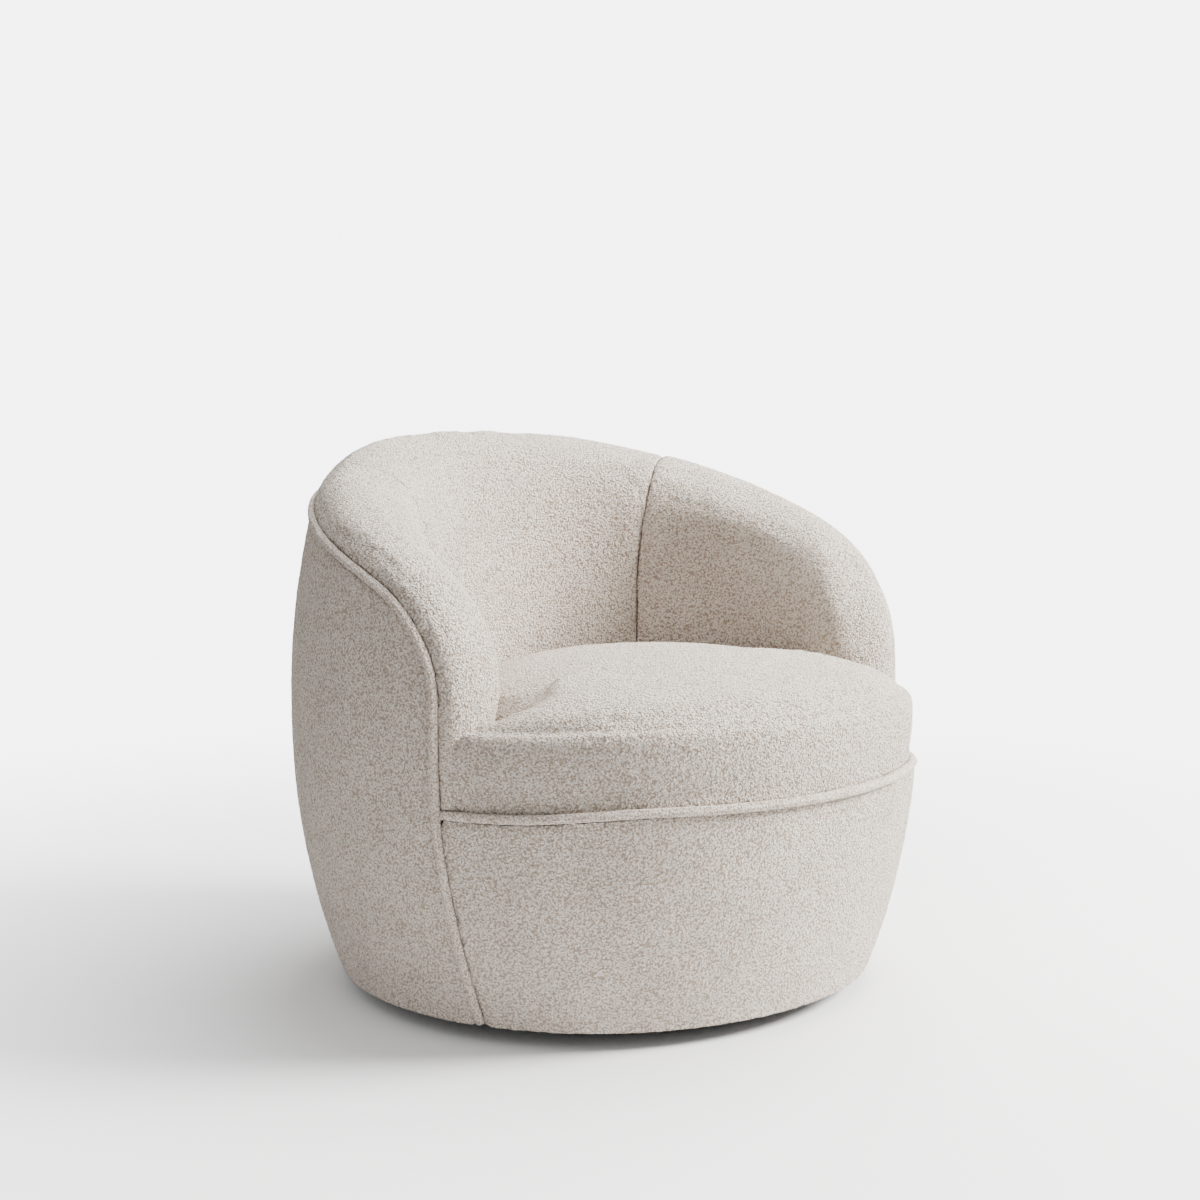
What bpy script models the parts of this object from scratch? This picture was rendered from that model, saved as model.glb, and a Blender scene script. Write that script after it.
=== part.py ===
"""Round swivel tub armchair, built the way an upholsterer builds one.

A recessed base carries a ball race. On it turns a plywood drum: base board, ribs, seat ring and a bent top
rail. Foam pads and fabric covers are laid over the drum in layers, and a loose T-shaped cushion lies on
sinuous springs. Metres, +Z up, front towards -Y, origin on the floor in the middle.
"""

import math

import bmesh
import bpy
from mathutils import Vector

# ---------------------------------------------------------------- driving dimensions
COLLECTION = "round_swivel_armchair"

WIDE_R = 0.410          # the drum at its widest
WIDE_Z = 0.368
HEM_R = 0.350           # the drum at its bottom hem
HEM_Z = 0.022
LOWER_POWER = 2.2       # how the drum draws in towards the hem
UPPER_CURVE = 0.475     # how it leans in above its widest, per metre
FRONT_FLAT = 0.04       # the front is this much flatter than a circle
FRONT_LEAN = math.radians(3.9)       # the front welts lean forward by this at the hem
LEAN_POWER = 1.3

RIM_Z = 0.706           # top of the back
RIM_FALL = 0.039        # the rim drops by this times the angle squared, in radians from the back
ARM_ANGLE = math.radians(120.3)      # where an arm ends, from the back
CORNER_ANGLE = math.radians(98.0)    # where its top starts to turn down
CORNER_DROP = 0.13
CORNER_POWER = 2.3
SEAM_ANGLE = math.radians(53.0)      # the seams between back and arms

WELL_R = 0.290          # the seat well is a circle set forward of the drum's centre
WELL_Y = -0.093
RAKE = 0.16             # lean of the inside back above the seat
RAKE_Z = 0.40
RAKE_SPREAD = 1.5       # the lean fades this fast from the middle of the back round to the arms

ROLL_POWER = 2.2        # roundness of the roll along the rim
OUT_SHOULDER = 0.042    # from the rim down to the welt at the back
FRONT_SHOULDER = 0.028  # and at the arm's front, where the roll is tighter
SHOULDER_START = math.radians(40.0)
SHOULDER_END = math.radians(105.0)
IN_SHOULDER_ARM = 0.038
IN_SHOULDER_BACK = 0.140
CREST_R = 0.328         # middle of the roll at the back
CREST_SPREAD = 0.012    # it moves out by this towards the arm's end
CREST_TURN = math.radians(60.0)
CREST_POWER = 2.5

COVER = 0.003           # thickness of the boucle cover
LAYER_GAP = 0.001       # air between two layers
SEAM_GAP = 0.0005       # air across a seam
WELT_ROOM = 0.0018      # air between a welt and the straight-sided facets beside it
ARM_FOAM = 0.032
BACK_FOAM = 0.070
SHELL_WADDING = 0.006
SHELL_BOARD = 0.003
FACET_ROOM = 0.0045     # the shell's flat facets dip in this far between its columns
TOUCH = 0.0003          # gap between two hard pieces that touch
PAD_FOOT_Z = 0.2875     # the pads stand on the deck

# steps round and along the upholstery's surfaces
CORNER_STEPS = 5
ARM_STEPS = 4
BACK_STEPS = 4
WELL_STEPS = 3
OUT_SHARES = (1.0, 0.45, 0.12, 0.0)
IN_SHARES = (0.12, 0.45, 1.0)
SHELL_ROWS = (0.0556, 0.12, 0.21, 0.30)
SHELL_TOP_STEPS = 3
ROW_ROOM = 0.001        # no two rows of a skin lie closer than this
SHELL_LAYERS_DROP = 0.018            # wadding and board stop below the pads' edge
SHELL_STEPS = 8
SHELL_CORNER_STEPS = 5
SHELL_CORNER_ANGLE = math.radians(88.0)
FRONT_STEPS = 12

BOARD_Z0, BOARD_Z1 = 0.037, 0.055    # base board
BOARD_R = 0.333
RING_Z0, RING_Z1 = 0.215, 0.240      # seat ring
RING_R = 0.3225
RING_HOLE_R = 0.235
RIB_THICK = 0.015
RIB_DEEP = 0.040
RIB_ANGLES = [math.radians(a) for a in (-88.0, -44.0, 0.0, 44.0, 88.0)]   # from the back
RIB_SLOPE_ROOM = 0.003  # a rib's flat top clears the sloping rail
RAIL_DROP = 0.085       # from the rim down to the top rail
RAIL_THICK = 0.020
RAIL_STEPS = 18
RAIL_OVERHANG = math.radians(3.0)
POST_ANGLE = math.radians(103.0)
POST_INNER_R = 0.3365
POST_TOP_Z = 0.440
FRONT_RIB_ANGLE = math.radians(150.0)
FRONT_RAIL_DEEP = 0.040
FRONT_RAIL_REACH = math.radians(58.0)
FRONT_RAIL_STEPS = 10
RIB_STEPS = 6
UNDERCLOTH_ROOM = 0.004
UNDERCLOTH_GAP = 0.0005
DECK_Z0, DECK_Z1 = 0.262, 0.283      # pad over the springs
DECK_CLOTH = 0.002
DECK_EDGE_Z = 0.2865                 # top of the front border
DECK_STEPS = 48
DECK_FRONT_ANGLE = math.radians(62.0)
DECK_ROOM = 0.001
SPRING_END_Z = 0.2447
SPRING_ARCH = 0.0145
SPRING_REACH = 0.270
SPRING_PITCH = 0.072
SPRING_HALF_WIDTH = 0.021
SPRING_LOOPS = 17
SPRING_WIRE_R = 0.0019
SPRING_COUNT = 5
LOOP_FLAT = 0.3         # half the straight end of a loop, as a share of its pitch
STRIP_SIZE = (0.30, 0.012, 0.002)
TIE_R = 0.0010
TIE_REACH = 0.17
TIE_GAP = 0.0007

CUSHION_Z0 = 0.2868
CUSHION_SEAM_Z = 0.385
CUSHION_CROWN_Z = 0.432
EAR_ANGLE = math.radians(63.0)       # the cushion's ears end here, from the front
NECK_X = 0.279                       # half the width between the arms
EAR_SET_BACK = 0.009                 # the ears' tips stand back from the drum's widest by this
CUSHION_CLEAR = 0.008                # air between the cushion and the seat well
CUSHION_MIDDLE_Y = -0.110
EAR_MIDDLE_Y = -0.250
REAR_ARC_START = math.radians(95.0)
BAND_MIDDLE_Z = 0.335
BAND_TOP_DROP = 0.014                # the band starts to turn over this far below the seam
BAND_TURN = 0.006                    # and has drawn in by this at the seam
CROWN_POWER = 0.8
CUSHION_FRONT_STEPS = 6
CUSHION_REAR_STEPS = 8
CROWN_REACHES = (0.07, 0.20, 0.42, 0.70, 0.93)
CORE_INSET = 0.010
WELT_R = 0.0048
WELT_SINK = 0.0015                   # the welt's middle lies this far under the surface
WELT_Z = 0.294
FOOT_STEPS = 5                       # steps of the shell's welt below the arms
ZIP_TAPE = 0.0012
ZIP_Z = 0.340
ZIP_REACH = math.radians(36.0)
ZIP_STEPS = 10
ZIP_STAND_OFF = 0.0010
ZIP_HALF_WIDTH = 0.010
SLIDER_SIZE = (0.009, 0.0024, 0.012)
SLIDER_STAND_OFF = 0.0015

PLINTH_R = 0.295
PLINTH_Z0, PLINTH_Z1 = 0.0052, 0.0225
GLIDE_R = 0.013
GLIDE_COUNT = 4
GLIDE_CIRCLE_R = 0.250
PLATE_R = 0.155
PLATE_THICK = 0.003
BALL_R = 0.0036
BALL_COUNT = 12
RACE_R = 0.120
UPPER_PLATE_Z0 = 0.0337
CAGE_HALF_WIDTH = 0.008
CAGE_HALF_THICK = 0.0012
PIVOT_R = 0.008
PIVOT_HOLE_R = 0.010
PIVOT_TOP_Z = 0.056
PIVOT_FLANGE_R = 0.020
PIVOT_FLANGE = 0.002
PIVOT_WELL_R = 0.024
PIVOT_PLAY = 0.0006
WASHER_R = 0.017
WASHER = 0.002
NUT_R = 0.0145
NUT = 0.008
NUT_PLAY = 0.0015
SCREW_COUNT = 3
SCREW_CIRCLE_R = 0.143
SCREW_R = 0.0028
SCREW_HEAD_R = 0.0060
SCREW_HEAD = 0.0022
SCREW_LENGTH = 0.0125
SCREW_HOLE_DEPTH = 0.012

COLOURS = {
    "boucle": ((0.80, 0.76, 0.71), 0.95, 0.0),
    "foam": ((0.86, 0.80, 0.58), 0.90, 0.0),
    "wadding": ((0.90, 0.90, 0.88), 0.95, 0.0),
    "plywood": ((0.62, 0.45, 0.28), 0.65, 0.0),
    "board": ((0.45, 0.34, 0.24), 0.80, 0.0),
    "steel": ((0.60, 0.61, 0.62), 0.35, 1.0),
    "black_steel": ((0.03, 0.03, 0.03), 0.45, 1.0),
    "black_plinth": ((0.02, 0.02, 0.02), 0.60, 0.0),
    "cambric": ((0.05, 0.05, 0.05), 0.95, 0.0),
    "nylon": ((0.12, 0.12, 0.12), 0.50, 0.0),
}


# ---------------------------------------------------------------- scene helpers
def clear_scene():
    for thing in list(bpy.data.objects):
        bpy.data.objects.remove(thing, do_unlink=True)


def make_collection(name):
    group = bpy.data.collections.new(name)
    bpy.context.scene.collection.children.link(group)
    return group


def material_for(name, slot):
    colour, rough, metal = COLOURS[slot]
    mat = bpy.data.materials.new(name + "_finish")
    mat.use_nodes = True
    shader = mat.node_tree.nodes["Principled BSDF"]
    shader.inputs["Base Color"].default_value = (*colour, 1.0)
    shader.inputs["Roughness"].default_value = rough
    shader.inputs["Metallic"].default_value = metal
    return mat


def add_object(name, data, slot, smooth_angle=None):
    piece = bpy.data.objects.new(name, data)
    PARTS.objects.link(piece)
    data.materials.append(material_for(name, slot))
    if smooth_angle is not None:
        data.shade_smooth()
        data.set_sharp_from_angle(angle=math.radians(smooth_angle))
    return piece


def mesh_from(build, name):
    """Runs build on a fresh bmesh, closes it, turns its faces outwards and returns the mesh."""
    bm = bmesh.new()
    build(bm)
    bmesh.ops.remove_doubles(bm, verts=bm.verts, dist=1e-6)
    bmesh.ops.recalc_face_normals(bm, faces=bm.faces)
    mesh = bpy.data.meshes.new(name)
    bm.to_mesh(mesh)
    bm.free()
    return mesh


def box(name, size, centre, slot, turn=0.0):
    """A board of the given size, turned about Z, with its middle at centre."""
    def build(bm):
        bmesh.ops.create_cube(bm, size=1.0)
        bmesh.ops.scale(bm, vec=size, verts=bm.verts)
    piece = add_object(name, mesh_from(build, name), slot)
    piece.location = centre
    piece.rotation_euler = (0.0, 0.0, turn)
    return piece


def disc(name, radius, z0, z1, slot, segments=36, at=(0.0, 0.0), hole=None):
    """A flat round piece between two heights, with an optional round hole through it."""
    profile = [(radius, z1), (radius, z0)]
    if hole is None:
        profile = [(0.0, z1)] + profile + [(0.0, z0)]
    else:
        profile = profile + [(hole, z0), (hole, z1), (radius, z1)]
    return turned(name, profile, slot, segments, at)


def turned(name, profile, slot, segments=36, at=(0.0, 0.0)):
    """A profile in the XZ plane, spun once round the vertical through at."""
    def build(bm):
        verts = [bm.verts.new((x, 0.0, z)) for x, z in profile]
        edges = [bm.edges.new(pair) for pair in zip(verts, verts[1:])]
        bmesh.ops.spin(bm, geom=verts + edges, cent=(0, 0, 0), axis=(0, 0, 1),
                       angle=2.0 * math.pi, steps=segments, use_merge=True)
    piece = add_object(name, mesh_from(build, name), slot, smooth_angle=40)
    piece.location = (at[0], at[1], 0.0)
    return piece


def layer(name, top_skin, under_skin, slot, closed=False):
    """A closed solid between two matching grids of points, given as lists of columns."""
    def build(bm):
        skins = [[[bm.verts.new(p) for p in column] for column in skin] for skin in (top_skin, under_skin)]
        columns = len(top_skin)
        rows = len(top_skin[0])
        steps = columns if closed else columns - 1
        for grid in skins:
            for i in range(steps):
                for j in range(rows - 1):
                    a, b = grid[i], grid[(i + 1) % columns]
                    bm.faces.new((a[j], b[j], b[j + 1], a[j + 1]))
        top, under = skins
        for i in range(steps):
            k = (i + 1) % columns
            for j in (0, rows - 1):
                bm.faces.new((top[i][j], top[k][j], under[k][j], under[i][j]))
        if not closed:
            for i in (0, columns - 1):
                for j in range(rows - 1):
                    bm.faces.new((top[i][j], top[i][j + 1], under[i][j + 1], under[i][j]))
    return add_object(name, mesh_from(build, name), slot, smooth_angle=50)


# ---------------------------------------------------------------- the drum's shape
def lerp(a, b, t):
    return a + (b - a) * t


def smooth_step(t):
    t = min(1.0, max(0.0, t))
    return t * t * (3.0 - 2.0 * t)


def drum_radius(z):
    """Radius of the drum at height z, before the front is flattened."""
    if z < WIDE_Z:
        return WIDE_R - (WIDE_R - HEM_R) * ((WIDE_Z - z) / (WIDE_Z - HEM_Z)) ** LOWER_POWER
    return WIDE_R - UPPER_CURVE * (z - WIDE_Z) ** 2


def outer_radius(back_angle, z):
    """Distance of the outer surface from the axis; back_angle is measured from the back."""
    front = max(0.0, -math.cos(back_angle))
    return drum_radius(z) * (1.0 - FRONT_FLAT * front ** 3)


def well_radius(back_angle, z):
    """Distance of the seat well's wall from the drum's axis."""
    along = math.cos(back_angle) * WELL_Y
    reach = along + math.sqrt(WELL_R ** 2 - WELL_Y ** 2 + along ** 2)
    return reach + RAKE * max(0.0, z - RAKE_Z) * max(0.0, math.cos(back_angle)) ** RAKE_SPREAD


def crest_radius(back_angle):
    past = max(0.0, abs(back_angle) - CREST_TURN) / CREST_TURN
    return CREST_R + CREST_SPREAD * min(1.0, past) ** CREST_POWER


def in_shoulder(back_angle):
    return lerp(IN_SHOULDER_BACK, IN_SHOULDER_ARM, smooth_step(abs(back_angle) / CORNER_ANGLE))


def out_shoulder(back_angle):
    share = (abs(back_angle) - SHOULDER_START) / (SHOULDER_END - SHOULDER_START)
    return lerp(OUT_SHOULDER, FRONT_SHOULDER, min(1.0, max(0.0, share)))


def front_lean(z):
    """How far a front welt has leaned forward at height z, as an angle."""
    below = max(0.0, PAD_FOOT_Z - z) / (PAD_FOOT_Z - HEM_Z)
    return FRONT_LEAN * below ** LEAN_POWER


def polar(back_angle, radius, z):
    return Vector((radius * math.sin(back_angle), radius * math.cos(back_angle), z))


def rim_height(angle):
    """Height of the rim, turning down to a vertical front edge at the end of the arm."""
    past = max(0.0, angle - CORNER_ANGLE) / (ARM_ANGLE - CORNER_ANGLE)
    turn = 1.0 - (1.0 - min(1.0, past) ** CORNER_POWER) ** (1.0 / CORNER_POWER)
    return RIM_Z - RIM_FALL * angle ** 2 - CORNER_DROP * turn


def edge_line():
    """The rim's edge from the foot of an arm's front, up and back to the middle: (angle, height) pairs."""
    corner_foot = rim_height(ARM_ANGLE)
    line = [(ARM_ANGLE, lerp(PAD_FOOT_Z, corner_foot, i / 2)) for i in range(3)]
    for i in range(1, CORNER_STEPS + 1):
        swing = math.pi / 2 * i / CORNER_STEPS
        angle = lerp(CORNER_ANGLE, ARM_ANGLE, math.cos(swing) ** (2.0 / CORNER_POWER))
        line.append((angle, rim_height(angle)))
    for first, last, steps in ((CORNER_ANGLE, SEAM_ANGLE, ARM_STEPS), (SEAM_ANGLE, 0.0, BACK_STEPS)):
        for i in range(1, steps + 1):
            angle = lerp(first, last, i / steps)
            line.append((angle, rim_height(angle)))
    return line


def edge_normals(line):
    """Unit vectors from the edge into the wall, in (arc length, height); straight down from the seam back."""
    flat = [Vector((CREST_R * a, z)) for a, z in line]
    normals = []
    for i, (angle, _) in enumerate(line):
        along = (flat[min(len(flat) - 1, i + 1)] - flat[max(0, i - 1)]).normalized()
        square = Vector((-along.y, along.x))
        upright = 1.0 - smooth_step((angle - SEAM_ANGLE) / (CORNER_ANGLE - SEAM_ANGLE))
        normals.append(square.lerp(Vector((0.0, -1.0)), upright).normalized())
    return normals


def roll_profile(share):
    return (1.0 - (1.0 - min(1.0, share)) ** ROLL_POWER) ** (1.0 / ROLL_POWER)


GUIDE = edge_line()
EDGE_NORMALS = edge_normals(GUIDE)


def offset_line(distances):
    """A line over one arm at distances from the guide: (angle, height) pairs, front to back."""
    line = []
    for (angle, height), normal, distance in zip(GUIDE, EDGE_NORMALS, distances):
        moved = normal * distance
        line.append((angle + moved.x / CREST_R, height + moved.y))
    return line


SHOULDERS = [out_shoulder(angle) for angle, _ in GUIDE]
EDGE = offset_line([OUT_SHOULDER - shoulder for shoulder in SHOULDERS])
SEAM_INDEX = len(EDGE) - 1 - BACK_STEPS
EDGE_FRONT = IN_SHOULDER_ARM / CREST_R


def foot_angle(index):
    """Where a line of the inside meets the deck: straight down at the back, fanned out in the arms."""
    angle = EDGE[index][0]
    if index >= SEAM_INDEX:
        return angle
    return lerp(EDGE[0][0] - EDGE_FRONT, SEAM_ANGLE, index / SEAM_INDEX)


def wall_column(index, inset, inside_inset):
    """One line of points over the roll: from the welt, over the rim, and down the inside to the deck.

    The insets sink the line into the wall, so that layers nest: inset on the outside and over the rim,
    inside_inset on the face of the seat well.
    """
    angle, height = EDGE[index]
    normal = EDGE_NORMALS[index]
    shoulder = in_shoulder(angle)
    points = []

    def at_depth(depth):
        moved = normal * depth
        return angle + moved.x / CREST_R, height + moved.y

    for share in OUT_SHARES:
        a, z = at_depth(SHOULDERS[index] * share + inset * (1.0 - share))
        wall = outer_radius(a, z) - inset
        points.append(polar(a, lerp(crest_radius(a), wall, roll_profile(share)), z))
    for share in IN_SHARES:
        a, z = at_depth(shoulder * share + inset)
        wall = well_radius(a, z) + inside_inset
        points.append(polar(a, lerp(crest_radius(a), wall, roll_profile(share)), z))
    start_angle, start_z = at_depth(shoulder + inset)
    for i in range(1, WELL_STEPS + 1):
        a = lerp(start_angle, foot_angle(index), i / WELL_STEPS)
        z = lerp(start_z, PAD_FOOT_Z, i / WELL_STEPS)
        points.append(polar(a, well_radius(a, z) + inside_inset, z))
    return points


def mirrored(skin):
    return [[Vector((-p.x, p.y, p.z)) for p in column] for column in skin]


def pull_back(skin, column, towards, clearance):
    """Moves one edge column of a skin towards its neighbour, to leave a seam."""
    skin[column] = [p + (q - p).normalized() * clearance for p, q in zip(skin[column], skin[towards])]


def arm_skin(inset, inside_inset):
    skin = [wall_column(i, inset, inside_inset) for i in range(SEAM_INDEX + 1)]
    pull_back(skin, -1, -2, SEAM_GAP)
    return skin


def back_skin(inset, inside_inset):
    half = [wall_column(i, inset, inside_inset) for i in range(SEAM_INDEX, len(EDGE))]
    pull_back(half, 0, 1, SEAM_GAP)
    return half + mirrored(half[-2::-1])


WELT_LINE = offset_line([OUT_SHOULDER + WELT_R + SEAM_GAP] * len(GUIDE))
WELT_FRONT = WELT_LINE[0][0]


SHELL_LINE = offset_line([OUT_SHOULDER + 2.0 * WELT_R + SEAM_GAP + WELT_ROOM] * len(GUIDE))


def shell_top(angle):
    """Height of the shell's top edge, just under the welt, at an angle from the back."""
    rising = SHELL_LINE[2:][::-1]
    for (a0, z0), (a1, z1) in zip(rising, rising[1:]):
        if angle <= a1:
            return lerp(z0, z1, (angle - a0) / (a1 - a0))
    return rising[-1][1]


def shell_angles():
    """Columns of the outer shell over one half, from the arm's front to the back."""
    steps = SHELL_CORNER_STEPS
    corner = [lerp(SHELL_LINE[0][0], SHELL_CORNER_ANGLE, (i / steps) ** 1.5) for i in range(steps + 1)]
    return corner + [lerp(corner[-1], 0.0, i / SHELL_STEPS) for i in range(1, SHELL_STEPS + 1)]


def shell_skin(inset, foot, drop=0.0):
    """A skin of the outer shell all round the back, from its foot to the welt, kept drop clear of it."""
    half = []
    for index, angle in enumerate(shell_angles()):
        top = shell_top(angle)
        heights = [foot] + [z for z in SHELL_ROWS if z > foot + ROW_ROOM]
        heights += [lerp(SHELL_ROWS[-1], top, i / SHELL_TOP_STEPS) for i in range(1, SHELL_TOP_STEPS)]
        heights.append(top - drop)
        turned_back = drop / CREST_R if index == 0 else 0.0
        lean = max(0.0, 1.0 - index / SHELL_CORNER_STEPS)
        leaned = [(angle - turned_back + lean * front_lean(z), z) for z in heights]
        half.append([polar(a, outer_radius(a, z) - inset, z) for a, z in leaned])
    return half + mirrored(half[-2::-1])


def border_skin(inset, foot, top):
    """A skin of the front border below the cushion, between the two front welts."""
    edge = math.pi - WELT_FRONT - (WELT_R + WELT_ROOM) / WIDE_R
    heights = [foot] + [z for z in SHELL_ROWS if foot + ROW_ROOM < z < top - ROW_ROOM] + [top]
    columns = []
    for i in range(FRONT_STEPS + 1):
        across = lerp(-1.0, 1.0, i / FRONT_STEPS)
        leaned = [(math.pi + across * (edge - front_lean(z)), z) for z in heights]
        columns.append([polar(a, outer_radius(a, z) - inset, z) for a, z in leaned])
    return columns


def rings(name, loops, slot, smooth_angle=50):
    """A closed solid through matching closed loops of points, capped at the first and the last."""
    def build(bm):
        grid = [[bm.verts.new(p) for p in loop] for loop in loops]
        count = len(loops[0])
        for low, high in zip(grid, grid[1:]):
            for i in range(count):
                k = (i + 1) % count
                bm.faces.new((low[i], low[k], high[k], high[i]))
        bm.faces.new(grid[0])
        bm.faces.new(grid[-1])
    return add_object(name, mesh_from(build, name), slot, smooth_angle)


def wire(name, points, radius, slot, sides=2, cyclic=False):
    """A round wire or cord through the points; sides is the curve's bevel resolution."""
    curve = bpy.data.curves.new(name, "CURVE")
    curve.dimensions = "3D"
    curve.bevel_depth = radius
    curve.bevel_resolution = sides
    curve.use_fill_caps = True
    spline = curve.splines.new("POLY")
    spline.points.add(len(points) - 1)
    for knot, point in zip(spline.points, points):
        knot.co = (*point, 1.0)
    spline.use_cyclic_u = cyclic
    return add_object(name, curve, slot)


def board_from_outline(name, outline, thickness, slot, back_angle):
    """A flat board standing in a plane through the drum's axis; the outline is (radius, height) pairs."""
    curve = bpy.data.curves.new(name, "CURVE")
    curve.dimensions = "2D"
    curve.fill_mode = "BOTH"
    curve.extrude = thickness / 2.0
    spline = curve.splines.new("POLY")
    spline.points.add(len(outline) - 1)
    for knot, (x, z) in zip(spline.points, outline):
        knot.co = (x, z, 0.0, 1.0)
    spline.use_cyclic_u = True
    piece = add_object(name, curve, slot)
    piece.rotation_euler = (math.pi / 2.0, 0.0, math.pi / 2.0 - back_angle)
    return piece


def cutter(name, build):
    tool = bpy.data.objects.new(name, mesh_from(build, name))
    CUTTERS.objects.link(tool)
    tool.hide_render = True
    tool.display_type = "WIRE"
    return tool


def boolean(piece, tool, operation):
    modifier = piece.modifiers.new(operation.title(), "BOOLEAN")
    modifier.operation = operation
    modifier.object = tool


# ---------------------------------------------------------------- upholstery fixed to the drum
def make_inside_covers():
    """Three panels of cover that wrap over the roll: the inside back and the two inside arms."""
    arm = arm_skin(0.0, 0.0), arm_skin(COVER, COVER)
    layer("inside_arm_cover_right", *arm, "boucle")
    layer("inside_arm_cover_left", *(mirrored(skin) for skin in arm), "boucle")
    layer("inside_back_cover", back_skin(0.0, 0.0), back_skin(COVER, COVER), "boucle")


def make_pads():
    """Foam under the inside covers; the back's is thick, which brings the sitter forward."""
    face = COVER + LAYER_GAP
    arm = arm_skin(face, face), arm_skin(face + ARM_FOAM, face + ARM_FOAM)
    layer("arm_pad_right", *arm, "foam")
    layer("arm_pad_left", *(mirrored(skin) for skin in arm), "foam")
    layer("back_pad", back_skin(face, face), back_skin(face + ARM_FOAM, face + BACK_FOAM), "foam")


def make_shell():
    """The outer wrap: cover, wadding and a thin board, from the hem up to the welt."""
    depth = COVER + LAYER_GAP
    board = depth + SHELL_WADDING + LAYER_GAP
    foot = SHELL_ROWS[0]
    layer("shell_cover", shell_skin(0.0, HEM_Z), shell_skin(COVER, HEM_Z), "boucle")
    drop = SHELL_LAYERS_DROP
    layer("shell_wadding", shell_skin(depth, foot, drop), shell_skin(depth + SHELL_WADDING, foot, drop),
          "wadding")
    layer("shell_board", shell_skin(board, foot, drop), shell_skin(board + SHELL_BOARD, foot, drop), "board")


def make_front_border():
    depth = COVER + LAYER_GAP
    board = depth + SHELL_WADDING + LAYER_GAP
    foot = SHELL_ROWS[0]
    top = DECK_EDGE_Z
    layer("front_border_cover", border_skin(0.0, HEM_Z, top), border_skin(COVER, HEM_Z, top), "boucle")
    layer("front_border_wadding", border_skin(depth, foot, top),
          border_skin(depth + SHELL_WADDING, foot, top), "wadding")
    board_top = RING_Z1
    layer("front_border_board", border_skin(board, foot, board_top),
          border_skin(board + SHELL_BOARD, foot, board_top), "board")


def make_shell_welt():
    """Piping from one front hem up the arm, round the back under the roll, and down to the other hem."""
    heights = [lerp(HEM_Z + WELT_R, PAD_FOOT_Z, i / FOOT_STEPS) for i in range(FOOT_STEPS)]
    rise = [(WELT_FRONT + front_lean(z), z) for z in heights]
    half = [polar(a, outer_radius(a, z) - WELT_SINK, z) for a, z in rise + WELT_LINE]
    far_half = [Vector((-p.x, p.y, p.z)) for p in half[-2::-1]]
    wire("shell_welt", half + far_half, WELT_R, "boucle", sides=1)


# ---------------------------------------------------------------- plywood drum
def frame_inset():
    return COVER + SHELL_WADDING + SHELL_BOARD + 2.0 * LAYER_GAP + FACET_ROOM


def rib_outline(back_angle, inner, top):
    """A rib's outline: its outer edge follows the drum, its inner edge is upright."""
    foot = BOARD_Z1 + TOUCH
    heights = [lerp(foot, top, i / RIB_STEPS) for i in range(RIB_STEPS + 1)]
    outer = [(outer_radius(back_angle, z) - frame_inset(), z) for z in heights]
    return [(inner, foot)] + outer + [(inner, top)]


def rail_bottom(angle):
    return rim_height(angle) - RAIL_DROP - RAIL_THICK


def make_ribs():
    for number, angle in enumerate(RIB_ANGLES, start=1):
        top = rail_bottom(abs(angle)) - TOUCH - RIB_SLOPE_ROOM
        board_from_outline(f"drum_rib_{number}", rib_outline(angle, RING_R + TOUCH, top), RIB_THICK,
                           "plywood", angle)
    for side, word in ((1, "right"), (-1, "left")):
        outline = rib_outline(POST_ANGLE, POST_INNER_R, POST_TOP_Z)
        board_from_outline(f"arm_post_{word}", outline, RIB_THICK, "plywood", side * POST_ANGLE)
        outline = rib_outline(FRONT_RIB_ANGLE, RING_R + TOUCH, RING_Z1)
        board_from_outline(f"front_rib_{word}", outline, RIB_THICK, "plywood", side * FRONT_RIB_ANGLE)


def make_rails():
    """A bent top rail on the ribs, and a front rail on the seat ring."""
    def rail(name, angles, bottom, height, outer_inset, deep):
        loops = []
        for angle in angles:
            low = bottom(angle)
            outer = outer_radius(angle, low + height) - outer_inset
            section = ((outer, low), (outer, low + height), (outer - deep, low + height), (outer - deep, low))
            loops.append([polar(angle, r, z) for r, z in section])
        rings(name, loops, "plywood", smooth_angle=20)

    span = RIB_ANGLES[-1] + RAIL_OVERHANG
    angles = [lerp(-span, span, i / RAIL_STEPS) for i in range(RAIL_STEPS + 1)]
    rail("top_rail", angles, lambda a: rail_bottom(abs(a)), RAIL_THICK, frame_inset(), RIB_DEEP)
    reach = FRONT_RAIL_REACH
    angles = [math.pi + lerp(-reach, reach, i / FRONT_RAIL_STEPS) for i in range(FRONT_RAIL_STEPS + 1)]
    height = DECK_Z0 - RING_Z1 - 2.0 * TOUCH
    rail("front_rail", angles, lambda a: RING_Z1 + TOUCH, height, frame_inset(), FRONT_RAIL_DEEP)


def make_drum_boards():
    base = disc("base_board", BOARD_R, BOARD_Z0, BOARD_Z1, "plywood", hole=PIVOT_WELL_R)
    disc("seat_ring", RING_R, RING_Z0, RING_Z1, "plywood", hole=RING_HOLE_R)
    disc("underside_cloth", BOARD_R - UNDERCLOTH_ROOM, UPPER_PLATE_Z0 + UNDERCLOTH_GAP, BOARD_Z0 - TOUCH,
         "cambric", hole=PLATE_R + UNDERCLOTH_ROOM)
    return base


# ---------------------------------------------------------------- springs and deck
def spring_height(y):
    return SPRING_END_Z + SPRING_ARCH * (1.0 - (y / SPRING_REACH) ** 2)


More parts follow.
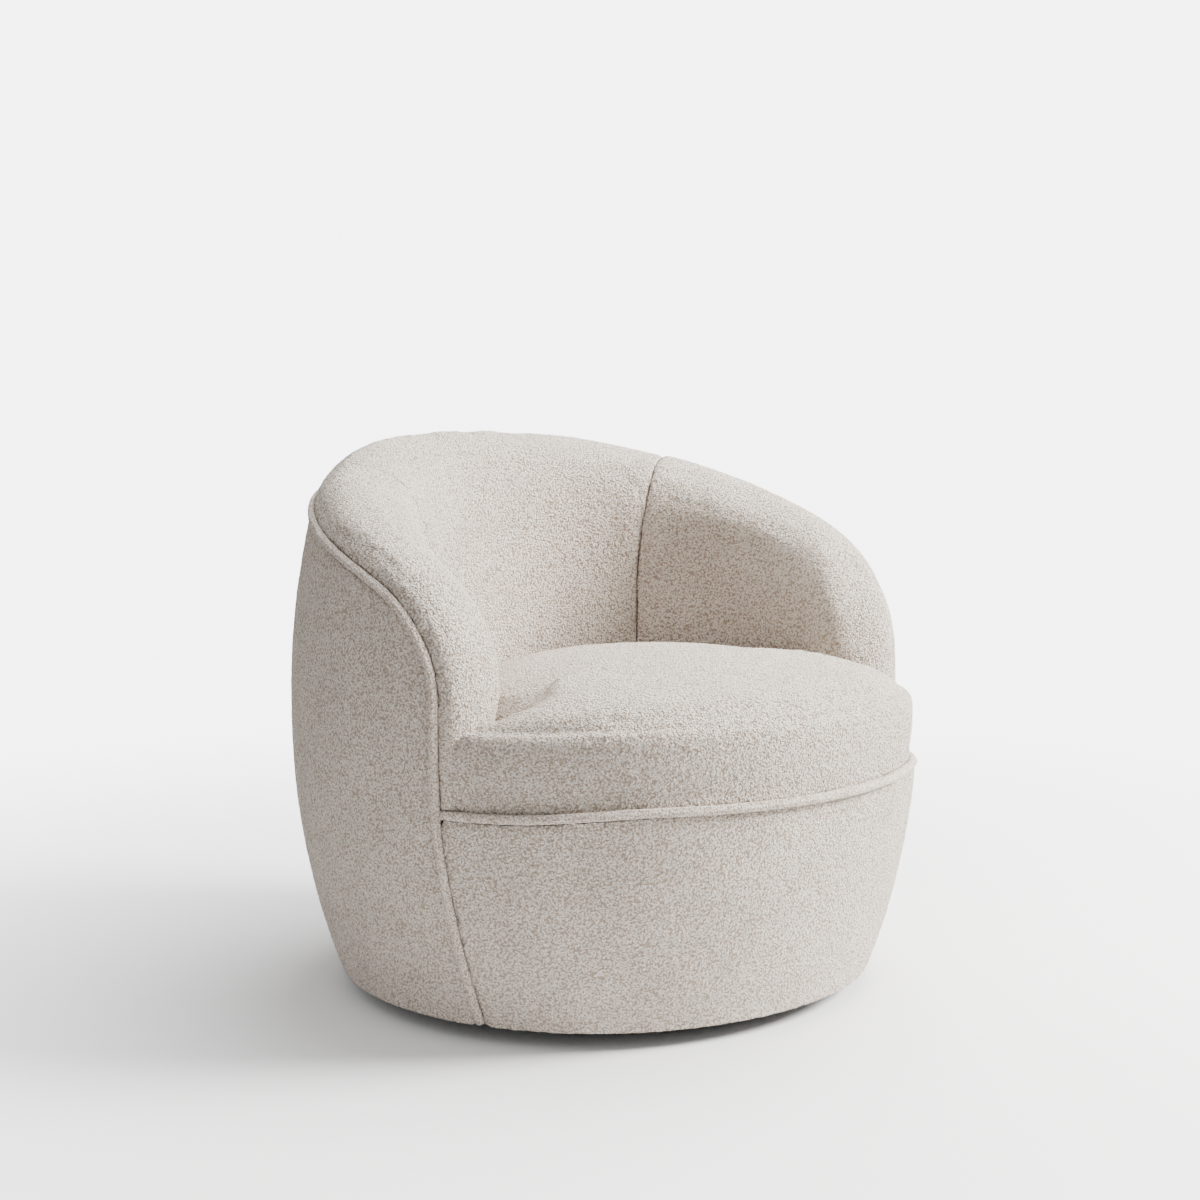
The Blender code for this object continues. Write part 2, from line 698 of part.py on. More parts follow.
def make_springs():
    for number in range(SPRING_COUNT):
        x = (number - (SPRING_COUNT - 1) / 2.0) * SPRING_PITCH
        points = [(x, -SPRING_REACH, SPRING_END_Z)]
        for loop in range(SPRING_LOOPS):
            side = 1.0 if loop % 2 else -1.0
            middle = lerp(-SPRING_REACH, SPRING_REACH, (loop + 0.5) / SPRING_LOOPS)
            for end in (-LOOP_FLAT, LOOP_FLAT):
                y = middle + end * 2.0 * SPRING_REACH / SPRING_LOOPS
                points.append((x + side * SPRING_HALF_WIDTH, y, spring_height(y)))
        points.append((x, SPRING_REACH, SPRING_END_Z))
        wire(f"seat_spring_{number + 1}", points, SPRING_WIRE_R, "steel", sides=0)
    strip_z = RING_Z1 + TOUCH + STRIP_SIZE[2] / 2.0
    for y, word in ((-SPRING_REACH, "front"), (SPRING_REACH, "rear")):
        box(f"spring_clip_strip_{word}", STRIP_SIZE, (0.0, y, strip_z), "steel")
    tie_z = SPRING_END_Z + SPRING_ARCH - SPRING_WIRE_R - TIE_R - TIE_GAP
    wire("spring_tie_wire", [(-TIE_REACH, 0.0, tie_z), (TIE_REACH, 0.0, tie_z)], TIE_R, "steel", sides=1)


def deck_loop(z, inset):
    """Outline of the seat deck: out to the border in front, inside the ribs elsewhere."""
    loop = []
    for i in range(DECK_STEPS):
        angle = 2.0 * math.pi * (i + 0.5) / DECK_STEPS
        in_front = abs(math.pi - angle) < DECK_FRONT_ANGLE
        radius = outer_radius(angle, DECK_Z0) - frame_inset() if in_front else RING_R - DECK_ROOM
        loop.append(polar(angle, radius - inset, z))
    return loop


def make_deck():
    rings("deck_pad", [deck_loop(DECK_Z0, 0.0), deck_loop(DECK_Z1, 0.0)], "foam", smooth_angle=30)
    low = DECK_Z1 + TOUCH
    rings("deck_cloth", [deck_loop(low, DECK_ROOM), deck_loop(low + DECK_CLOTH, DECK_ROOM)], "cambric",
          smooth_angle=30)


# ---------------------------------------------------------------- loose cushion
def cushion_outline():
    """Plan of the T-shaped cushion, anticlockwise from above: front arc, ear, neck, rear arc, and back."""
    half = []
    for i in range(CUSHION_FRONT_STEPS + 1):
        angle = math.pi - EAR_ANGLE * i / CUSHION_FRONT_STEPS
        set_back = EAR_SET_BACK * smooth_step((math.pi - abs(angle)) / EAR_ANGLE)
        half.append(polar(angle, outer_radius(angle, WIDE_Z) - set_back, 0.0))
    half.append(Vector((NECK_X, half[-1].y, 0.0)))
    for i in range(CUSHION_REAR_STEPS + 1):
        angle = lerp(REAR_ARC_START, 0.0, i / CUSHION_REAR_STEPS)
        half.append(polar(angle, WELL_R - CUSHION_CLEAR, 0.0) + Vector((0.0, WELL_Y, 0.0)))
    return half + [Vector((-p.x, p.y, 0.0)) for p in half[-2:0:-1]]


def cushion_loop(outline, z, inset, reach=0.0):
    """The outline moved in by inset, then drawn in by a share of the way to the crown, at height z."""
    loop = []
    for i, here in enumerate(outline):
        before, after = outline[i - 1], outline[(i + 1) % len(outline)]
        first, second = ((q - p).normalized() for p, q in ((before, here), (here, after)))
        normals = [Vector((-d.y, d.x, 0.0)) for d in (first, second)]
        mitre = (normals[0] + normals[1]) / (1.0 + max(0.0, normals[0].dot(normals[1])))
        loop.append(here + mitre * inset)
    centre = Vector((0.0, lerp(EAR_MIDDLE_Y, CUSHION_MIDDLE_Y, smooth_step(reach / 0.45)), 0.0))
    return [centre + (p - centre) * (1.0 - reach) + Vector((0.0, 0.0, z)) for p in loop]


def crown_loops(outline, inset, drop):
    """Loops from the cushion's band up over the seam and the crown; inset and drop nest the core inside."""
    band_foot = WELT_Z + WELT_R + SEAM_GAP
    band_top = CUSHION_SEAM_Z - BAND_TOP_DROP
    loops = [cushion_loop(outline, z, inset) for z in (band_foot, BAND_MIDDLE_Z, band_top)]
    loops.append(cushion_loop(outline, CUSHION_SEAM_Z - drop, inset + BAND_TURN))
    rise = CUSHION_CROWN_Z - CUSHION_SEAM_Z
    for reach in CROWN_REACHES:
        height = CUSHION_SEAM_Z + rise * (1.0 - (1.0 - reach) ** 2) ** CROWN_POWER
        loops.append(cushion_loop(outline, height - drop, inset + BAND_TURN, reach))
    return loops


def make_cushion():
    outline = cushion_outline()
    outside = crown_loops(outline, 0.0, 0.0)
    inside = crown_loops(outline, COVER, COVER)
    rings("cushion_cover", outside[::-1] + inside, "boucle")
    gap = COVER + LAYER_GAP
    foot = CUSHION_Z0 + DECK_CLOTH + TOUCH
    core = [cushion_loop(outline, foot, CORE_INSET)] + crown_loops(outline, gap, gap)[1:]
    rings("cushion_core", core, "foam")
    bottom = [cushion_loop(outline, z, CORE_INSET) for z in (CUSHION_Z0, CUSHION_Z0 + DECK_CLOTH)]
    rings("cushion_base_cover", bottom, "boucle", smooth_angle=30)
    wire("cushion_welt", cushion_loop(outline, WELT_Z, WELT_SINK), WELT_R, "boucle", sides=1, cyclic=True)


def rear_arc(radius, z, reach):
    """Points on the cushion's rear arc, which is round about the seat well's middle."""
    arc = []
    for i in range(ZIP_STEPS + 1):
        angle = lerp(-reach, reach, i / ZIP_STEPS)
        arc.append(Vector((radius * math.sin(angle), WELL_Y + radius * math.cos(angle), z)))
    return arc


def make_zip():
    """A zip along the rear of the band, with a slider that runs round it."""
    inner = WELL_R - CUSHION_CLEAR + ZIP_STAND_OFF
    outer = inner + ZIP_TAPE
    tape = []
    for radius in (outer, inner):
        low, high = (rear_arc(radius, z, ZIP_REACH) for z in (ZIP_Z - ZIP_HALF_WIDTH, ZIP_Z + ZIP_HALF_WIDTH))
        tape.append([list(pair) for pair in zip(low, high)])
    layer("cushion_zip_tape", tape[0], tape[1], "nylon")
    slider = box("cushion_zip_slider", SLIDER_SIZE, (0.0, outer + SLIDER_STAND_OFF, ZIP_Z), "steel")
    pivot = bpy.data.objects.new("zip_axis", None)
    PARTS.objects.link(pivot)
    pivot.location = (0.0, WELL_Y, 0.0)
    slider.parent = pivot


# ---------------------------------------------------------------- swivel base
def ring_of_holes(name, count, circle, radius, z0, z1, turn=0.0):
    """Cutter: upright round pegs on a circle."""
    def build(bm):
        for i in range(count):
            angle = turn + 2.0 * math.pi * i / count
            made = bmesh.ops.create_cone(bm, cap_ends=True, segments=12, radius1=radius, radius2=radius,
                                         depth=z1 - z0)
            place = (circle * math.cos(angle), circle * math.sin(angle), (z0 + z1) / 2.0)
            bmesh.ops.translate(bm, vec=place, verts=made["verts"])
    return cutter(name, build)


def screw(name, at, head_z, direction, slot="steel"):
    """A pan-head screw: a head against the plate and a shank through it; direction is +1 up, -1 down."""
    profile = [(0.0, SCREW_LENGTH), (SCREW_R, SCREW_LENGTH), (SCREW_R, SCREW_HEAD),
               (SCREW_HEAD_R, SCREW_HEAD), (SCREW_HEAD_R * 0.8, 0.0), (0.0, 0.0)]
    profile = [(r, direction * z) for r, z in profile]
    piece = turned(name, profile, slot, segments=10)
    piece.location = (at[0], at[1], head_z)
    return piece


def make_base():
    """Glides and plinth on the floor, and the lower half of the swivel: plate, pin, washer and nut."""
    for number in range(GLIDE_COUNT):
        angle = math.pi / 4.0 + 2.0 * math.pi * number / GLIDE_COUNT
        at = (GLIDE_CIRCLE_R * math.cos(angle), GLIDE_CIRCLE_R * math.sin(angle))
        disc(f"floor_glide_{number + 1}", GLIDE_R, 0.0, PLINTH_Z0 - TOUCH, "nylon", segments=16, at=at)
    plinth = disc("plinth", PLINTH_R, PLINTH_Z0, PLINTH_Z1, "black_plinth", segments=64)
    low = PLINTH_Z1 + TOUCH
    plate = disc("lower_swivel_plate", PLATE_R, low, low + PLATE_THICK, "black_steel", hole=PIVOT_HOLE_R)
    holes = ring_of_holes("lower_screw_holes", SCREW_COUNT, SCREW_CIRCLE_R, SCREW_R + 0.0003,
                          PLINTH_Z1 - SCREW_HOLE_DEPTH, low + PLATE_THICK + 0.001)
    for piece in (plate, plinth):
        boolean(piece, holes, "DIFFERENCE")
    top = low + PLATE_THICK
    for number in range(SCREW_COUNT):
        angle = 2.0 * math.pi * number / SCREW_COUNT
        at = (SCREW_CIRCLE_R * math.cos(angle), SCREW_CIRCLE_R * math.sin(angle))
        screw(f"lower_plate_screw_{number + 1}", at, top + SCREW_HEAD + TOUCH, -1)
    foot = top + TOUCH
    flange_top = foot + PIVOT_FLANGE
    profile = [(0.0, PIVOT_TOP_Z), (PIVOT_R, PIVOT_TOP_Z), (PIVOT_R, flange_top),
               (PIVOT_FLANGE_R, flange_top), (PIVOT_FLANGE_R, foot), (0.0, foot)]
    turned("pivot_pin", profile, "steel", segments=20)
    washer_z = UPPER_PLATE_Z0 + PLATE_THICK + PIVOT_PLAY
    disc("pivot_washer", WASHER_R, washer_z, washer_z + WASHER, "steel", segments=20, hole=PIVOT_R + TOUCH)
    nut_z = washer_z + WASHER + TOUCH
    disc("pivot_nut", NUT_R, nut_z, nut_z + NUT, "steel", segments=6, hole=PIVOT_R + NUT_PLAY)


def make_upper_swivel(base_board):
    plate = disc("upper_swivel_plate", PLATE_R, UPPER_PLATE_Z0, UPPER_PLATE_Z0 + PLATE_THICK,
                 "black_steel", hole=PIVOT_R + PIVOT_PLAY)
    turn = math.pi / SCREW_COUNT
    holes = ring_of_holes("upper_screw_holes", SCREW_COUNT, SCREW_CIRCLE_R, SCREW_R + 0.0003,
                          UPPER_PLATE_Z0 - 0.001, BOARD_Z0 + SCREW_HOLE_DEPTH, turn)
    for piece in (plate, base_board):
        boolean(piece, holes, "DIFFERENCE")
    for number in range(SCREW_COUNT):
        angle = turn + 2.0 * math.pi * number / SCREW_COUNT
        at = (SCREW_CIRCLE_R * math.cos(angle), SCREW_CIRCLE_R * math.sin(angle))
        screw(f"upper_plate_screw_{number + 1}", at, UPPER_PLATE_Z0 - SCREW_HEAD - TOUCH, 1)


def make_ball_cage():
    """A ring that spaces the balls; it turns half as far as the seat."""
    middle = (PLINTH_Z1 + TOUCH + PLATE_THICK + UPPER_PLATE_Z0) / 2.0
    cage = disc("ball_cage", RACE_R + CAGE_HALF_WIDTH, middle - CAGE_HALF_THICK, middle + CAGE_HALF_THICK,
                "steel", segments=36, hole=RACE_R - CAGE_HALF_WIDTH)

    def balls(bm):
        for i in range(BALL_COUNT):
            angle = 2.0 * math.pi * i / BALL_COUNT
            made = bmesh.ops.create_uvsphere(bm, u_segments=6, v_segments=4, radius=BALL_R)
            place = (RACE_R * math.cos(angle), RACE_R * math.sin(angle), middle)
            bmesh.ops.translate(bm, vec=place, verts=made["verts"])
    boolean(cage, cutter("ball_set", balls), "UNION")


clear_scene()
PARTS = make_collection(COLLECTION)
CUTTERS = make_collection("cutters")
make_inside_covers()
make_pads()
make_shell()
make_front_border()
make_shell_welt()
make_ribs()
make_rails()
drum_base = make_drum_boards()
make_springs()
make_deck()
make_cushion()
make_zip()
make_base()
make_upper_swivel(drum_base)
make_ball_cage()
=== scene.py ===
# %% [markdown]
# # A round swivel tub armchair in cream boucle
#
# The chair is a barrel: a plywood drum wrapped in looped wool, with a rolled rim that slopes down from
# the back into two arms, and a loose T-shaped cushion on top of the seat. It turns on a low dark plinth
# that hardly shows. This lesson dresses the bare frame: every fabric part is made from the plain solid it
# stands for, filled out, seamed and covered in curls.

import math

import bmesh
import bpy
import numpy as np
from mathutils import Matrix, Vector
from mathutils.kdtree import KDTree


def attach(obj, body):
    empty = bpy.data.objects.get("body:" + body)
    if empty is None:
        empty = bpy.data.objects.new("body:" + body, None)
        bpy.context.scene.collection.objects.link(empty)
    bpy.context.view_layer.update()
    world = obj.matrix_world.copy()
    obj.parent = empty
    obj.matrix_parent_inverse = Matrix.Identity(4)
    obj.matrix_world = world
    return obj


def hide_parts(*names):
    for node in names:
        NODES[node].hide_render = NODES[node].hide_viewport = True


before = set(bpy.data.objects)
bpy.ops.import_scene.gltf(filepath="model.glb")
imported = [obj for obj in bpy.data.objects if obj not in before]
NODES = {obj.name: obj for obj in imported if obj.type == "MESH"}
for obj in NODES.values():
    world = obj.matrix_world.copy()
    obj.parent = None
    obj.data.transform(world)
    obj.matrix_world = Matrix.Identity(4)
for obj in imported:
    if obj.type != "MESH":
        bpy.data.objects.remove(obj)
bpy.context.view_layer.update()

# %% [markdown]
# ## The camera
#
# The chair is seen from its left front corner, from a little over arm height, with a short telephoto lens
# so that its sides stay nearly parallel. The camera is placed by three plain facts: how far it stands from
# the chair's axis, on which bearing, and how high. It looks along that bearing, tipped slightly down.

# %% Place the camera
CAMERA_BEARING = math.radians(-39.0)     # 0 is straight in front of the seat
CAMERA_DISTANCE = 2.571
CAMERA_HEIGHT = 0.762
CAMERA_TIP = math.radians(6.0)

SENSOR_MM, LENS_MM = 36.0, 59.3
LENS_SHIFT = -0.006                      # sets the chair a little right of the middle

lens = bpy.data.cameras.new("portrait_lens")
lens.sensor_width = SENSOR_MM
lens.lens = LENS_MM
lens.shift_x = LENS_SHIFT
camera = bpy.data.objects.new("camera", lens)
camera.location = (CAMERA_DISTANCE * math.sin(CAMERA_BEARING), -CAMERA_DISTANCE * math.cos(CAMERA_BEARING),
                   CAMERA_HEIGHT)
camera.rotation_euler = (math.pi / 2.0 - CAMERA_TIP, 0.0, CAMERA_BEARING)
bpy.context.scene.collection.objects.link(camera)
bpy.context.scene.camera = camera
print("camera at", [round(v, 3) for v in camera.location])

# %% [markdown]
# ## Small node helpers
#
# A material is a little network. Writing the same three lines for every node hides the idea, so two
# helpers do it: one adds a node and fills its sockets, the other makes a node group with named sockets.
# A socket given a plain value is set; a socket given another node's output is linked.

# %% Node helpers
def add_node(tree, kind, settings=None, **sockets):
    """Adds a node, sets its own properties and fills its inputs, by name or, as _0, by number."""
    node = tree.nodes.new(kind)
    for key, value in (settings or {}).items():
        setattr(node, key, value)
    for key, value in sockets.items():
        name = int(key[1:]) if key[0] == "_" else key.replace("_", " ")
        socket = node.inputs[name]
        if isinstance(value, bpy.types.NodeSocket):
            tree.links.new(value, socket)
        else:
            socket.default_value = value
    return node


def new_group(name, inputs, outputs):
    """A shader node group; inputs are name: (type, default), outputs are name: type."""
    group = bpy.data.node_groups.new(name, "ShaderNodeTree")
    for label, (kind, default) in inputs.items():
        socket = group.interface.new_socket(label, in_out="INPUT", socket_type=kind)
        if default is not None:
            socket.default_value = default
    for label, kind in outputs.items():
        group.interface.new_socket(label, in_out="OUTPUT", socket_type=kind)
    return group, group.nodes.new("NodeGroupInput"), group.nodes.new("NodeGroupOutput")


def math_node(tree, operation, a, b=0.5):
    return add_node(tree, "ShaderNodeMath", {"operation": operation}, _0=a, _1=b).outputs[0]


def vector_math(tree, operation, a, b):
    return add_node(tree, "ShaderNodeVectorMath", {"operation": operation}, _0=a, _1=b).outputs[0]


def smooth_range(tree, value, low, high, to_low=0.0, to_high=1.0):
    settings = {"interpolation_type": "SMOOTHSTEP"}
    node = add_node(tree, "ShaderNodeMapRange", settings, Value=value, From_Min=low, From_Max=high,
                    To_Min=to_low, To_Max=to_high)
    return node.outputs[0]


def blank_material(name, rough, metal=0.0):
    """A new material: itself, its node tree and its shader."""
    material = bpy.data.materials.new(name)
    material.use_nodes = True
    shader = material.node_tree.nodes["Principled BSDF"]
    shader.inputs["Roughness"].default_value = rough
    shader.inputs["Metallic"].default_value = metal
    return material, material.node_tree, shader


def place_group(tree, group, **values):
    """Puts a node group in a material, reading the object's own coordinates."""
    node = tree.nodes.new("ShaderNodeGroup")
    node.node_tree = group
    tree.links.new(add_node(tree, "ShaderNodeTexCoord").outputs["Object"], node.inputs["Position"])
    for key, value in values.items():
        node.inputs[key].default_value = value
    return node


def two_tone(tree, mask, low, high):
    """Low colour where the mask is 0, high where it is 1."""
    mix = add_node(tree, "ShaderNodeMix", {"data_type": "RGBA"}, Factor=mask)
    mix.inputs[6].default_value = (*low, 1.0)
    mix.inputs[7].default_value = (*high, 1.0)
    return mix.outputs[2]


def relief(tree, shader, height, depth, strength=1.0):
    bump = add_node(tree, "ShaderNodeBump", Strength=strength, Distance=depth, Height=height)
    tree.links.new(bump.outputs["Normal"], shader.inputs["Normal"])

# %% [markdown]
# ## Boucle
#
# Boucle is woven from yarn with loops in it, so its face is a crowd of small tight curls, three to four
# millimetres across, with small dark gaps between them. It could be grown as hair, which is slow and can't
# be exported. A Voronoi texture gives a field of round cells, one for each curl, and pushing its
# coordinates about with noise first makes them as uneven as real loops. The cells are balls in space and
# the fabric only cuts through them, which leaves bare patches; a second field, shifted sideways, fills
# those in. The same height drives the bump and the colour: the gaps are given a painted shade, a darker
# colour standing in for the shadow that falls between the curls, so the crests look lit and the gaps stay
# dark.

# %% The curl pattern as a group
CURL_SIZE = 0.0031       # metres across one curl
TANGLE = 0.0030          # how far a curl is pushed off its place
LOOP_SHARE, YARN_SHARE = 0.75, 0.25  # of the height: the curl itself, and the strands within it
STRANDS = 2.3            # strands across one curl
GAP_HEIGHT, CREST_HEIGHT = 0.42, 0.68

curls, curls_in, curls_out = new_group(
    "boucle_curls",
    {"Position": ("NodeSocketVector", None), "Scale": ("NodeSocketFloat", 1.0 / CURL_SIZE),
     "Tangle": ("NodeSocketFloat", TANGLE)},
    {"Height": "NodeSocketFloat", "Crest_Unshaded": "NodeSocketFloat", "Tone": "NodeSocketFloat"})
where, scale = curls_in.outputs["Position"], curls_in.outputs["Scale"]
push = add_node(curls, "ShaderNodeTexNoise", Vector=where, Scale=math_node(curls, "MULTIPLY", scale, 0.9),
                Detail=1.0)
centred = vector_math(curls, "SUBTRACT", push.outputs["Color"], (0.5, 0.5, 0.5))
tangled = add_node(curls, "ShaderNodeVectorMath", {"operation": "SCALE"}, _0=centred,
                   Scale=curls_in.outputs["Tangle"])
moved = vector_math(curls, "ADD", where, tangled.outputs[0])
shifted = vector_math(curls, "ADD", moved, (0.37, 0.61, 0.13))
layers = [add_node(curls, "ShaderNodeTexVoronoi", {"feature": "F1"}, Vector=vector, Scale=scale)
          for vector in (moved, shifted)]
loops = math_node(curls, "MINIMUM", *[layer.outputs["Distance"] for layer in layers])
yarn = add_node(curls, "ShaderNodeTexVoronoi", {"feature": "F1"}, Vector=moved,
                Scale=math_node(curls, "MULTIPLY", scale, STRANDS))
loop_depth = math_node(curls, "MULTIPLY", loops, LOOP_SHARE)
yarn_depth = math_node(curls, "MULTIPLY", yarn.outputs["Distance"], YARN_SHARE)
total = math_node(curls, "SUBTRACT", 1.0, math_node(curls, "ADD", loop_depth, yarn_depth))
# 1 on the curl crests and 0 in the gaps, where the material paints shade
unshaded_crest = smooth_range(curls, total, GAP_HEIGHT, CREST_HEIGHT)
tone = add_node(curls, "ShaderNodeTexNoise", Vector=where, Scale=16.0, Detail=3.0)
curls.links.new(total, curls_out.inputs["Height"])
curls.links.new(unshaded_crest, curls_out.inputs["Crest_Unshaded"])
curls.links.new(tone.outputs["Fac"], curls_out.inputs["Tone"])
print("group", curls.name, "has", len(curls.nodes), "nodes")

# %% [markdown]
# The material itself holds the shader. Painted gap shade and the yarn's own crest colour are mixed by the
# curl pattern, then varied by a slow drift of tone so that no two hand-breadths match. Wool scatters light at
# grazing angles, which is what sheen is for; it is the same all over, so it is set on the shader's own
# socket.

# %% Boucle materials
# painted shade: the gaps between curls get this darker colour in place of the shadow that falls there; the
# crest colour is the yarn's own cream
GAP_SHADE_COLOUR = (0.40, 0.305, 0.225)
CREST_COLOUR = (0.88, 0.785, 0.69)
PIPING_CURL = 0.0026
CURL_DEPTH, PIPING_DEPTH = 0.0075, 0.0045


def boucle_material(name, curl_size, depth):
    material, tree, shader = blank_material(name, 0.95)
    pattern = place_group(tree, curls, Scale=1.0 / curl_size)
    drift = smooth_range(tree, pattern.outputs["Tone"], 0.3, 0.7, 0.95, 1.03)
    # painted shade in the gaps, the yarn's own colour on the crests
    yarn_and_gap_shade = two_tone(tree, pattern.outputs["Crest_Unshaded"], GAP_SHADE_COLOUR, CREST_COLOUR)
    toned = add_node(tree, "ShaderNodeVectorMath", {"operation": "SCALE"}, _0=yarn_and_gap_shade, Scale=drift)
    tree.links.new(toned.outputs[0], shader.inputs["Base Color"])
    relief(tree, shader, pattern.outputs["Height"], depth)
    shader.inputs["Sheen Weight"].default_value = 0.2
    shader.inputs["Sheen Roughness"].default_value = 0.6
    shader.inputs["Specular IOR Level"].default_value = 0.2
    return material


cream_boucle = boucle_material("cream_boucle", CURL_SIZE, CURL_DEPTH)
piping_boucle = boucle_material("piping_boucle", PIPING_CURL, PIPING_DEPTH)

# %% [markdown]
# ## Finishes for the hidden frame
#
# Wood, cloth and steel only show when the cushion is lifted or the chair is turned over, but they are
# there to be found. Three small patterns make all of them: a grain that is noise stretched along one
# direction, a weave of crossed threads, and fine scuffs. Each pattern gives a mask, and the mask drives
# colour, roughness and a shallow bump together, because a stain or a scratch changes all three.

# %% Patterns for the frame's finishes
def pattern_group(name, first, default):
    """An empty pattern with a position, one named number or vector, and a mask to put out."""
    kind = "NodeSocketVector" if isinstance(default, tuple) else "NodeSocketFloat"
    return new_group(name, {"Position": ("NodeSocketVector", None), first: (kind, default)},
                     {"Mask": "NodeSocketFloat"})


grain, grain_in, grain_out = pattern_group("grain", "Stretch", (40.0, 40.0, 4.0))
drawn = vector_math(grain, "MULTIPLY", grain_in.outputs["Position"], grain_in.outputs["Stretch"])
rings = add_node(grain, "ShaderNodeTexNoise", Vector=drawn, Scale=1.0, Detail=5.0, Distortion=1.4)
fibres = add_node(grain, "ShaderNodeTexNoise", Vector=drawn, Scale=9.0, Detail=2.0)
both = math_node(grain, "ADD", math_node(grain, "MULTIPLY", rings.outputs["Fac"], 0.65),
                 math_node(grain, "MULTIPLY", fibres.outputs["Fac"], 0.35))
grain.links.new(smooth_range(grain, both, 0.36, 0.64), grain_out.inputs["Mask"])

weave, weave_in, weave_out = pattern_group("weave", "Threads", 1400.0)
axes = add_node(weave, "ShaderNodeSeparateXYZ", Vector=weave_in.outputs["Position"])
rows = math_node(weave, "ADD", axes.outputs["Y"], axes.outputs["Z"])
waves = [math_node(weave, "SINE", math_node(weave, "MULTIPLY", run, weave_in.outputs["Threads"]))
         for run in (axes.outputs["X"], rows)]
crossed = math_node(weave, "MULTIPLY", *waves)
weave.links.new(smooth_range(weave, crossed, -0.8, 0.8), weave_out.inputs["Mask"])

scuffs, scuffs_in, scuffs_out = pattern_group("scuffs", "Scale", 30.0)
clouds = add_node(scuffs, "ShaderNodeTexNoise", Vector=scuffs_in.outputs["Position"],
                  Scale=scuffs_in.outputs["Scale"], Detail=6.0, Roughness=0.7)
scuffs.links.new(smooth_range(scuffs, clouds.outputs["Fac"], 0.38, 0.66), scuffs_out.inputs["Mask"])
print("patterns:", grain.name, weave.name, scuffs.name)

# %% Materials of the frame
def patterned(name, pattern, colours, rough, depth, metal=0.0, **values):
    """A finish whose colour, roughness and bump all follow one pattern; rough is (where 0, where 1)."""
    material, tree, shader = blank_material(name, rough[0], metal)
    mask = place_group(tree, pattern, **values).outputs["Mask"]
    tree.links.new(two_tone(tree, mask, *colours), shader.inputs["Base Color"])
    tree.links.new(smooth_range(tree, mask, 0.0, 1.0, *rough), shader.inputs["Roughness"])
    relief(tree, shader, mask, depth)
    return material


BIRCH = ((0.52, 0.35, 0.20), (0.76, 0.60, 0.41))
flat_ply = patterned("birch_ply_flat", grain, BIRCH, (0.70, 0.55), 0.0003, Stretch=(5.0, 60.0, 700.0))
upright_ply = patterned("birch_ply_upright", grain, BIRCH, (0.70, 0.55), 0.0003, Stretch=(70.0, 70.0, 5.0))
fibreboard = patterned("fibreboard", scuffs, ((0.33, 0.22, 0.14), (0.50, 0.37, 0.26)), (0.85, 0.75), 0.0004,
                       Scale=160.0)
cambric = patterned("cambric", weave, ((0.020, 0.020, 0.021), (0.075, 0.074, 0.072)), (0.95, 0.85), 0.0002)
zip_cloth = patterned("zip_tape_cloth", weave, ((0.50, 0.46, 0.40), (0.78, 0.73, 0.66)), (0.90, 0.80), 0.0002,
                      Threads=2600.0)
zinc = patterned("zinc_plated_steel", scuffs, ((0.48, 0.49, 0.51), (0.66, 0.67, 0.68)), (0.28, 0.46), 0.00008,
                 1.0, Scale=85.0)
black_steel = patterned("black_steel", scuffs, ((0.016, 0.016, 0.017), (0.045, 0.045, 0.047)), (0.38, 0.58),
                        0.00012, Scale=240.0)
black_plinth = patterned("black_plinth", grain, ((0.010, 0.009, 0.009), (0.032, 0.029, 0.027)), (0.62, 0.45),
                         0.0003, Stretch=(50.0, 50.0, 8.0))
nylon = patterned("glide_nylon", scuffs, ((0.10, 0.10, 0.10), (0.20, 0.20, 0.20)), (0.42, 0.60), 0.0001,
                  Scale=120.0)

# %% [markdown]
# ## From a plain solid to padded fabric
#
# Each fabric part starts as a copy of the plain solid that holds its place. The copy's triangles are
# paired back into four-sided faces, because subdivision flows along them, and its sharp edges are creased
# so that seams stay crisp. Subdivision cuts corners, which makes a coarse barrel visibly slimmer, so the
# corners are first pushed out by as much as the rounding would lose. A voxel remesh then gives even
# squares all over, which cloth needs: it can't bend along a long thin face.

# %% Copying, rounding and remeshing a solid
HOLD_ANGLE = math.radians(52.0)
ROUNDS = 2               # how many times the corners are pushed out again after rounding


def pass_through(piece):
    """Moves a piece's corners so that its rounded surface passes through where they were."""
    wanted = points_of(piece)
    corners = wanted.copy()
    for _ in range(ROUNDS):
        bpy.context.view_layer.update()
        rounded = piece.evaluated_get(bpy.context.evaluated_depsgraph_get()).data
        reached = np.zeros(len(rounded.vertices) * 3)
        rounded.vertices.foreach_get("co", reached)
        corners += wanted - reached.reshape(-1, 3)[:len(wanted)]
        set_points(piece, corners)


def smooth_copy(name, nodes, levels=3, squares=None):
    """An object made of CAD nodes, merged, rounded by subdivision and, if squares is given, remeshed."""
    bm = bmesh.new()
    for node in nodes:
        bm.from_mesh(NODES[node].data)
    bmesh.ops.remove_doubles(bm, verts=bm.verts, dist=1e-5)
    bmesh.ops.join_triangles(bm, faces=bm.faces, angle_face_threshold=math.radians(40),
                             angle_shape_threshold=math.pi)
    crease = bm.edges.layers.float.new("crease_edge")
    for edge in bm.edges:
        if len(edge.link_faces) == 2 and edge.calc_face_angle() > HOLD_ANGLE:
            edge[crease] = 1.0
    mesh = bpy.data.meshes.new(name)
    bm.to_mesh(mesh)
    bm.free()
    piece = bpy.data.objects.new(name, mesh)
    bpy.context.scene.collection.objects.link(piece)
    rounding = piece.modifiers.new("Rounding", "SUBSURF")
    rounding.levels = rounding.render_levels = levels
    pass_through(piece)
    if squares:
        remesh = piece.modifiers.new("Squares", "REMESH")
        remesh.mode = "VOXEL"
        remesh.voxel_size = squares
    settle(piece)
    return piece


